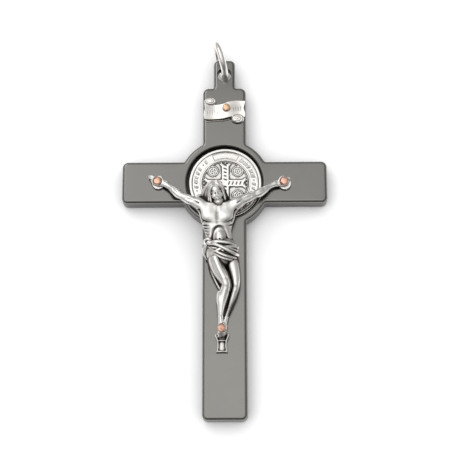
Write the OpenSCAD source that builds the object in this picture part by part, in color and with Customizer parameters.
// Crucifix pendant, in millimetres.
// A flat cross plate with a round medal let into the crossing, a cast figure, a small scroll plate, four
// rivets and a jump ring. It lies on its back: +Z points out of its face and +Y towards the ring.
// The origin is the centre of the crossing, on the plane of the back.

/* [Cross] */
// Width of both bars
bar_w = 9.0; // [7.5:0.1:11]
// Length of the crossbar
arm_span = 42.3; // [36:0.1:52]
// From the crossing to the shoulders beside the lug
head_len = 20.9; // [19:0.1:26]
// From the crossing to the foot
foot_len = 48.75; // [41:0.05:60]
// Thickness of the plate
plate_t = 3.8; // [3.2:0.1:4.6]
// Radius along the edges
edge_r = 0.7; // [0.3:0.05:0.9]
// Radius of the corners, seen from the front
corner_r = 1.2; // [0.9:0.05:1.6]

/* [Lug] */
// Length of the lug past the shoulders
lug_len = 6.35; // [6:0.05:8]
// Metal left on each side of the eye
eye_cheek = 0.75; // [0.6:0.05:1.2]
// Metal left between the eye and the tip
eye_web = 1.9; // [1.5:0.1:2.1]

/* [Collar and recess] */
// Wall of the collar round the recess
collar_wall = 1.5; // [1:0.1:2.2]
// Depth of the recess below the face
recess_depth = 1.9; // [1.5:0.1:2.2]
// Rounding of the rim of the recess
recess_lip = 0.25; // [0.1:0.05:0.4]

/* [Medal] */
// Diameter of the medal
medal_d = 15.0; // [12.5:0.1:18]
// Thickness of the medal at its rim
medal_t = 1.2; // [1:0.1:1.4]
// Height of the relief above the ground of the medal
medal_relief = 0.22; // [0.1:0.02:0.3]
// Shift of the medal to the right inside its recess
medal_shift = 0.15; // [0:0.05:0.2]

/* [Figure] */
// From the hand rivet on the left to the hand rivet on the right
hand_span = 26.0; // [24:0.5:29]
// Height of the hand rivets, measured from the crossing
hand_y = -0.2; // [-0.6:0.1:0.4]
// Shift of the middle of the figure to the left of the cross
figure_shift = 0.75; // [0.4:0.05:1.1]
// Lean of the head to the left
head_lean = 13; // [0:1:20]
// Distance of the feet rivet below the crossing, which sets the scale of the figure
feet_drop = 31.0; // [26:0.1:37.5]
// Radius of the pads behind the hands
pad_r = 1.35; // [1.2:0.05:1.6]
// Thickness of the pads behind the hands
pad_t = 0.6; // [0.4:0.05:0.8]
// Air between the figure's back and the plate
figure_gap = 0.3; // [0.2:0.05:0.5]

/* [Scroll] */
// Width of the scroll
scroll_w = 8.5; // [7.4:0.1:9]
// Height of the band of the scroll
scroll_h = 3.1; // [2.8:0.1:3.4]
// Thickness of the band
scroll_t = 0.8; // [0.6:0.05:1]
// Distance of the scroll's rivet below the shoulders of the cross
scroll_drop = 4.9; // [4.2:0.1:5.6]
// Radius of the two rolled ends
roll_r = 1.05; // [0.9:0.05:1.2]

/* [Rivets] */
// Diameter of a rivet's head
rivet_head_d = 1.75; // [1.5:0.05:2.1]
// Height of a rivet's head
rivet_head_h = 0.75; // [0.5:0.05:1]
// Diameter of a rivet's shank
rivet_shank_d = 1.0; // [0.8:0.05:1.2]

/* [Jump ring] */
// Outer diameter of the ring
ring_od = 9.0; // [8.6:0.1:9.6]
// Diameter of the ring's wire
ring_wire = 1.35; // [1.1:0.05:1.4]
// Turn of the ring away from the upright, seen from the front
ring_turn = 16; // [0:1:25]

/* [Clearances] */
// Gap all round the medal in its recess
recess_gap = 0.45; // [0.3:0.05:0.6]
// Gap round a rivet's shank in its hole
shank_gap = 0.06; // [0.04:0.01:0.1]
// Play of the jump ring in the eye, at each side
eye_gap = 0.09; // [0.05:0.01:0.3]
// Air between the jump ring and the underside of the lug
lug_lift = 0.45; // [0.3:0.05:0.7]

/* [Hidden] */
$fn = 48;
CUT = 1; // how far a cutting tool runs past the metal that it cuts

recess_r = medal_d / 2 + recess_gap;
collar_r = recess_r + collar_wall;
tip_y = head_len + lug_len;
ring_r = ring_od / 2;
lug_z = ring_wire + lug_lift;
// Reach of the ring's inner and outer edges from its centre, at the underside and at the face of the lug
ring_inside = sqrt(pow(ring_r - ring_wire, 2) - pow(ring_r - lug_z, 2));
ring_outside = sqrt(pow(ring_r, 2) - pow(ring_r - plate_t, 2));
eye_d = ring_outside - ring_inside + 2 * eye_gap;
eye_y = tip_y - eye_web - eye_d / 2;
lug_w = eye_d + 2 * eye_cheek;
lug_edge_r = min(edge_r, 0.35 * (plate_t - lug_z));
recess_z = plate_t - recess_depth;
medal_z = recess_z + medal_t;
hole_d = rivet_shank_d + 2 * shank_gap;
boss_h = 0.55; // height of the seat of a rivet above the pad or the band round it
foot_h = 2.0;  // height of the seat of the feet rivet above the plate
mid_x = -figure_shift;
scroll_y = head_len - scroll_drop;
// Where each rivet's head sits
left_rivet = [mid_x - hand_span / 2, hand_y, plate_t + pad_t + boss_h];
right_rivet = [mid_x + hand_span / 2, hand_y - 0.2, plate_t + pad_t + boss_h];
feet_rivet = [mid_x + 0.15, -feet_drop, plate_t + foot_h];
scroll_rivet = [0.4, scroll_y, plate_t + scroll_t];
rivets = [left_rivet, right_rivet, feet_rivet, scroll_rivet];
seat_d = rivet_head_d - 0.1;

// ---------------------------------------------------------------- shared shapes

// Rectangle with round corners
module round_rect(x0, x1, y0, y1, r) {
  translate([x0 + r, y0]) square([x1 - x0 - 2 * r, y1 - y0]);
  translate([x0, y0 + r]) square([x1 - x0, y1 - y0 - 2 * r]);
  for (x = [x0 + r, x1 - r], y = [y0 + r, y1 - r]) translate([x, y]) circle(r);
}

// Flat bar whose corners are round from the front and whose edges are round from the sides
module slab(x0, x1, y0, y1, z0, z1, edge, corner) {
  intersection() {
    translate([0, 0, z0]) linear_extrude(z1 - z0) round_rect(x0, x1, y0, y1, corner);
    translate([0, y1, 0]) rotate([90, 0, 0]) linear_extrude(y1 - y0) round_rect(x0, x1, z0, z1, edge);
    translate([x0, 0, 0]) rotate([90, 0, 90]) linear_extrude(x1 - x0) round_rect(y0, y1, z0, z1, edge);
  }
}

// Value of a list of numbers or points at u, on a smooth curve through its items
function item(v, i) = v[min(max(i, 0), len(v) - 1)];
function smooth(v, u) =
  let (i = min(floor(u), len(v) - 2), t = u - i)
  let (a = item(v, i - 1), b = v[i], c = v[i + 1], d = item(v, i + 2))
  (2 * b + (c - a) * t + (2 * a - 5 * b + 4 * c - d) * t * t + (3 * b - a - 3 * c + d) * t * t * t) / 2;
function place(s) = [s[0], s[1], s[2]];
function unit(v) = v / norm(v);

// One ring of a limb. A station holds a centre's X, Y and Z, a half width and a half depth.
function ring(stations, u, sides) =
  let (s = smooth(stations, u), last = len(stations) - 1)
  let (ahead = smooth(stations, min(u + 0.1, last)), behind = smooth(stations, max(u - 0.1, 0)))
  let (along = unit(place(ahead) - place(behind)), side = unit(cross([0, 0, 1], along)))
  let (up = cross(along, side))
  [for (k = [0:sides - 1]) place(s) + s[3] * cos(360 * k / sides) * side + s[4] * sin(360 * k / sides) * up];

// Closed limb through its stations, with a number of steps between each two
module limb(stations, steps = 2, sides = 12) {
  last = (len(stations) - 1) * steps;
  rings = [for (i = [0:last]) ring(stations, i / steps, sides)];
  points = [for (r = rings) each r];
  walls = [for (i = [0:last - 1], k = [0:sides - 1])
    let (next = (k + 1) % sides, low = i * sides, high = low + sides)
    each [[low + k, high + k, high + next], [low + k, high + next, low + next]]];
  start = [for (k = [0:sides - 1]) k];
  end = [for (k = [sides - 1:-1:0]) last * sides + k];
  polyhedron(points, concat([start], walls, [end]));
}

// Rope or lock of even thickness that narrows at both ends
module strand(points, r, tip = 0.35) {
  last = len(points) - 1;
  stations = [for (i = [0:last]) concat(points[i], (i == 0 || i == last ? tip : 1) * [r, r])];
  limb(stations, steps = 2, sides = 6);
}

// Ellipsoid with half axes in a list
module egg(centre, half, fn = 18) {
  translate(centre) scale(half) sphere(1, $fn = fn);
}

// Short bone between two balls
module link(a, b, ra, rb) {
  hull() {
    translate(a) sphere(ra, $fn = 10);
    translate(b) sphere(rb, $fn = 10);
  }
}

// ---------------------------------------------------------------- cross

module collar() {
  rotate_extrude() {
    square([collar_r - edge_r, plate_t]);
    translate([0, edge_r]) square([collar_r, plate_t - 2 * edge_r]);
    for (z = [edge_r, plate_t - edge_r]) translate([collar_r - edge_r, z]) circle(edge_r);
  }
}

module recess() {
  translate([0, 0, recess_z]) cylinder(r = recess_r, h = recess_depth + CUT);
  translate([0, 0, plate_t - recess_lip]) cylinder(r1 = recess_r, r2 = recess_r + recess_lip, h = recess_lip);
}

module eye() {
  translate([0, eye_y, lug_z - CUT]) cylinder(d = eye_d, h = plate_t - lug_z + 2 * CUT);
}

module cross() {
  color([0.36, 0.36, 0.34]) difference() {
    union() {
      slab(-bar_w / 2, bar_w / 2, -foot_len, head_len, 0, plate_t, edge_r, corner_r);
      slab(-arm_span / 2, arm_span / 2, -bar_w / 2, bar_w / 2, 0, plate_t, edge_r, corner_r);
      slab(-lug_w / 2, lug_w / 2, head_len - 2 * corner_r, tip_y, lug_z, plate_t, lug_edge_r, corner_r);
      collar();
    }
    recess();
    eye();
    for (r = rivets) translate([r.x, r.y, -CUT]) cylinder(d = hole_d, h = plate_t + 2 * CUT);
  }
}

// ---------------------------------------------------------------- medal

RIM = 0.45;          // width of the medal's raised rim
LINE = 0.16;         // width of a raised line
INNER = 0.66;        // radius of the inner circle, as a share of the medal's
ROUNDEL = 0.155;     // radius of a roundel, as a share of the medal's
ROUNDEL_AT = 0.36;   // distance of a roundel from the centre along both axes, as a share

module line_ring(r, w) {
  linear_extrude(medal_relief) difference() {
    circle(r);
    circle(r - w);
  }
}

// Arm of the medal's cross, flared and notched at its end
module medal_arm(length, width) {
  linear_extrude(medal_relief) polygon([
    [-width / 2, 0], [-width / 2, length * 0.72], [-width * 0.8, length],
    [0, length * 0.9], [width * 0.8, length], [width / 2, length * 0.72], [width / 2, 0]]);
}

module medal() {
  r = medal_d / 2;
  ground = medal_t - medal_relief;
  color([0.8, 0.8, 0.79]) translate([medal_shift, 0, recess_z]) {
    cylinder(r = r, h = ground);
    translate([0, 0, ground]) {
      line_ring(r, RIM);
      line_ring(r * INNER, LINE);
      for (a = [0:90:270]) rotate([0, 0, a]) {
        medal_arm(r * INNER - LINE * 2, r * 0.2);
        translate([r * ROUNDEL_AT, r * ROUNDEL_AT, 0]) line_ring(r * ROUNDEL, LINE);
      }
    }
  }
}

// ---------------------------------------------------------------- figure

// The figure has its own axes: X from its middle line, Y from the crossing, Z from the back of its body.
// One unit there is a millimetre when the feet rivet lies DRAWN_DROP below the crossing.
DRAWN_DROP = 31;
figure_scale = feet_drop / DRAWN_DROP;
figure_at = [mid_x, 0, plate_t + figure_gap];
function to_figure(p) = (p - figure_at) / figure_scale;

// Stations of the body from the neck to the hips, and of the two legs from the hip to the ankle
torso = [
  [-0.40, -5.6, 2.3, 1.10, 1.10], [-0.42, -6.5, 2.0, 2.70, 1.60], [-0.45, -8.0, 1.8, 3.40, 1.75],
  [-0.45, -9.8, 1.7, 3.10, 1.65], [-0.40, -11.4, 1.5, 2.65, 1.40], [-0.20, -13.2, 1.6, 2.75, 1.50],
  [0.15, -15.0, 1.7, 3.00, 1.65], [0.30, -17.0, 1.6, 2.50, 1.45]];
front_leg = [
  [-0.95, -15.2, 1.7, 1.60, 1.50], [-1.15, -17.0, 2.0, 1.60, 1.55], [-0.40, -19.4, 2.5, 1.45, 1.45],
  [0.75, -21.4, 2.9, 1.15, 1.25], [1.10, -22.6, 2.9, 0.98, 1.10], [0.55, -24.4, 2.4, 0.98, 1.10],
  [0.15, -26.6, 2.0, 0.78, 0.85], [0.05, -28.8, 1.7, 0.52, 0.60], [0.10, -29.8, 1.5, 0.60, 0.65]];
rear_leg = [
  [1.55, -15.4, 1.5, 1.50, 1.35], [2.20, -17.2, 1.6, 1.50, 1.40], [2.70, -19.6, 1.9, 1.25, 1.25],
  [2.95, -22.0, 2.1, 1.00, 1.10], [2.75, -23.2, 1.9, 0.90, 1.00], [2.15, -25.2, 1.5, 0.85, 0.90],
  [1.35, -27.4, 1.1, 0.62, 0.65], [0.70, -29.2, 0.9, 0.50, 0.55], [0.40, -30.0, 0.8, 0.55, 0.55]];

// Stations of an arm from inside the shoulder to the wrist, to the left (-1) or to the right (1)
function arm(side, wrist) =
  let (root = [-0.4 + side * 3.0, -5.9, 2.0])
  let (bone = wrist - root)
  [concat(root - [side * 1.0, 0.9, 0], [1.75, 1.45]),
   concat(root + bone * 0.12 + [0, 0.10, 0.05], [1.45, 1.30]),
   concat(root + bone * 0.38 + [0, -0.22, 0.05], [1.10, 1.05]),
   concat(root + bone * 0.55 + [0, -0.35, 0.0], [0.90, 0.90]),
   concat(root + bone * 0.72 + [0, -0.22, 0.0], [0.88, 0.85]),
   concat(root + bone * 0.90, [0.62, 0.62]),
   concat(wrist, [0.58, 0.50])];

// Palm and two fingers, which reach out past the rivet by a share
module palm(rivet, side, reach) {
  middle = to_figure([rivet.x, rivet.y, rivet.z - boss_h + 0.15]);
  limb(arm(side, middle + [-side * 1.2, -0.4, 0]));
  link(middle - [side * 1.3, 0.45, 0], middle, 0.45, 0.42);
  link(middle, middle + [side * 1.8, 1.05, -0.1] * reach, 0.42, 0.28);
  link(middle + [side * 0.3, -0.3, 0], middle + [side * 1.2, -0.05, -0.1] * reach, 0.38, 0.26);
}

// Flat chest muscle and the edge of the ribs below it
module chest(side) {
  egg([-0.42 + side * 1.4, -8.1, 2.85], [1.95, 1.55, 0.68]);
  strand([[-0.35 + side * 0.25, -9.9, 3.0], [-0.35 + side * 1.3, -11.0, 2.8],
    [-0.3 + side * 1.7, -12.4, 2.4]], 0.34);
}

// Skull, face, nose and a beard of three strands, about the middle of the head
module skull() {
  egg([0, 0.4, -0.2], [2.05, 2.3, 1.8]);
  egg([0.05, -0.7, 0.5], [1.35, 1.8, 1.5]);
  link([0, -0.5, 1.85], [0, -1.0, 1.95], 0.14, 0.24);
  for (k = [-1:1]) strand([[k * 0.55, -1.5, 1.0], [k * 0.4, -2.3, 1.1], [k * 0.15, -3.0, 0.7]], 0.42);
}

// Locks that part at the crown and fall on both sides of the face
module hair() {
  for (side = [-1, 1], k = [0:3]) {
    spread = (side < 0 ? 1.1 : 0.85) * (1.2 + 0.42 * k);
    strand([[0, 2.0 - 0.25 * k, 1.05 - 0.4 * k], [side * spread * 0.9, 1.2 - 0.3 * k, 1.0 - 0.45 * k],
      [side * spread * 1.05, -0.8, 0.5 - 0.4 * k],
      [side * spread * 1.1 + 0.3, -2.3 + 0.15 * k, 0.05 - 0.35 * k]], 0.52);
  }
}

module head() {
  middle = [-0.85, -3.4, 2.8];
  link([-0.5, -6.9, 2.2], middle + [0, -1.5, -0.4], 1.0, 0.95);
  translate(middle) rotate([0, 0, head_lean]) {
    skull();
    hair();
  }
}

// Loincloth: a wrap round the hips with ropes of cloth over it, a knot and a hanging end
module cloth() {
  limb([[-0.05, -13.6, 1.7, 2.9, 1.6], [0.15, -14.4, 1.8, 3.3, 1.8], [0.25, -15.6, 1.9, 3.45, 1.85],
    [0.40, -16.7, 1.9, 3.2, 1.8], [0.60, -17.4, 1.9, 2.6, 1.7]], sides = 20);
  for (k = [0:3]) strand([[-2.3, -13.9 - 0.45 * k, 2.8], [-0.9, -14.2 - 0.62 * k, 3.6],
    [1.2, -14.6 - 0.72 * k, 3.7], [3.1, -15.2 - 0.5 * k, 2.6]], 0.42);
  strand([[-2.4, -13.6, 2.6], [-0.6, -14.5, 3.8], [1.6, -15.6, 3.9], [3.3, -16.2, 2.5]], 0.5);
  strand([[-2.1, -13.2, 2.2], [-2.9, -13.6, 2.2], [-3.3, -14.8, 1.7], [-2.9, -16.2, 1.3],
    [-2.3, -17.6, 1.1]], 0.55);
  strand([[-2.6, -13.9, 2.3], [-2.9, -15.2, 1.9], [-2.5, -16.6, 1.4]], 0.45);
  link([-2.5, -13.7, 2.6], [-2.3, -14.1, 2.7], 0.6, 0.55);
}

// Feet crossed below the rivet
module feet() {
  top = to_figure(feet_rivet - [0, 0, boss_h]);
  under = top + [0.2, -0.2, -0.55];
  link(place(front_leg[8]), top, 0.6, 0.55);
  link(top, top + [0, -1.35, -0.7], 0.55, 0.45);
  link(place(rear_leg[8]), under, 0.55, 0.5);
  link(under, under + [-0.1, -1.0, -0.4], 0.5, 0.4);
}

// What stands on the plate: the pads behind the hands, the seats of the rivets and the foot bracket
module supports() {
  for (r = [left_rivet, right_rivet]) {
    translate([r.x + 0.15, r.y - 0.15, plate_t]) cylinder(r = pad_r, h = pad_t);
    translate([r.x, r.y, plate_t]) cylinder(d = seat_d, h = pad_t + boss_h);
  }
  translate([feet_rivet.x, feet_rivet.y, plate_t]) {
    cylinder(d = seat_d, h = foot_h);
    translate([0, -1.25, 0]) linear_extrude(0.9) polygon([[-1.30, 0], [1.30, 0], [0.85, -1.2],
      [0.85, -2.6], [1.0, -3.4], [-1.0, -3.4], [-0.85, -2.6], [-0.85, -1.2]]);
  }
}

module corpus() {
  color([0.62, 0.61, 0.6]) difference() {
    union() {
      translate(figure_at) scale(figure_scale) {
        limb(torso, sides = 20);
        egg([-0.2, -12.2, 2.1], [1.35, 1.7, 1.1]);
        for (side = [-1, 1]) chest(side);
        palm(left_rivet, -1, 1);
        palm(right_rivet, 1, 0.45);
        limb(front_leg);
        limb(rear_leg);
        head();
        cloth();
        feet();
      }
      supports();
    }
    for (r = [left_rivet, right_rivet, feet_rivet]) translate([r.x, r.y, 0]) {
      cylinder(d = hole_d, h = r.z + CUT);
      translate([0, 0, r.z]) cylinder(d = rivet_head_d + 2 * shank_gap, h = rivet_head_h + 2 * CUT);
    }
    translate([-arm_span, -foot_len, -CUT]) cube([2 * arm_span, 2 * foot_len, plate_t + CUT]);
  }
}

// ---------------------------------------------------------------- scroll

// Soft wave of the band's upper and lower edges across its width
function wave(x) = -0.42 * cos(306 * x / scroll_w + 58);

module band() {
  x0 = -scroll_w / 2;
  step = scroll_w / 24;
  upper = [for (i = [24:-1:0]) [x0 + i * step, scroll_h / 2 + wave(x0 + i * step)]];
  lower = [for (i = [0:24]) [x0 + i * step, -scroll_h / 2 + wave(x0 + i * step)]];
  linear_extrude(scroll_t) polygon(concat(upper, lower));
}

// Rolled end: a stub of a roll with a groove that turns most of the way round
module roll(turn) {
  difference() {
    cylinder(r = roll_r, h = scroll_t + 0.35);
    rotate([0, 0, turn]) translate([0, 0, scroll_t]) rotate_extrude(angle = 290)
      translate([roll_r * 0.45, 0]) square([0.2, CUT]);
  }
}

module scroll() {
  left_x = -scroll_w / 2 + roll_r * 1.35;
  right_x = scroll_w / 2 - roll_r * 1.5;
  lift = 0.6; // the rivet sits this far above the middle of the band
  color([0.86, 0.84, 0.78]) translate([0, scroll_y - lift, plate_t]) difference() {
    union() {
      band();
      translate([left_x, scroll_h / 2 + wave(left_x) + roll_r * 0.75, 0]) roll(200);
      translate([right_x, -scroll_h / 2 + wave(right_x) - roll_r * 0.65, 0]) roll(20);
    }
    translate([scroll_rivet.x, lift, -CUT]) cylinder(d = hole_d, h = scroll_t + 2 * CUT);
  }
}

// ---------------------------------------------------------------- rivets and ring

// Rivet with a low domed head and a shank that ends flush with the back
module rivet(at) {
  dome = rivet_head_h * 0.3;
  color([0.86, 0.6, 0.48]) translate([at.x, at.y, 0]) {
    cylinder(d = rivet_shank_d, h = at.z + rivet_head_h / 2);
    translate([0, 0, at.z]) cylinder(d = rivet_head_d, h = rivet_head_h - dome);
    translate([0, 0, at.z + rivet_head_h - dome])
      cylinder(d1 = rivet_head_d, d2 = rivet_head_d * 0.6, h = dome);
  }
}

module rivet_scroll() {
  rivet(scroll_rivet);
}

module rivet_hand_left() {
  rivet(left_rivet);
}

module rivet_hand_right() {
  rivet(right_rivet);
}

module rivet_feet() {
  rivet(feet_rivet);
}

// The ring stands on edge, through the eye and round the tip of the lug
module jump_ring() {
  from_eye = (ring_inside + ring_outside) / 2;
  color([0.78, 0.76, 0.74])
    translate([-sin(ring_turn) * from_eye, eye_y + cos(ring_turn) * from_eye, ring_r])
      rotate([0, 0, ring_turn]) rotate([0, 90, 0])
        rotate_extrude() translate([ring_r - ring_wire / 2, 0]) circle(d = ring_wire);
}

cross();
medal();
corpus();
scroll();
rivet_scroll();
rivet_hand_left();
rivet_hand_right();
rivet_feet();
jump_ring();
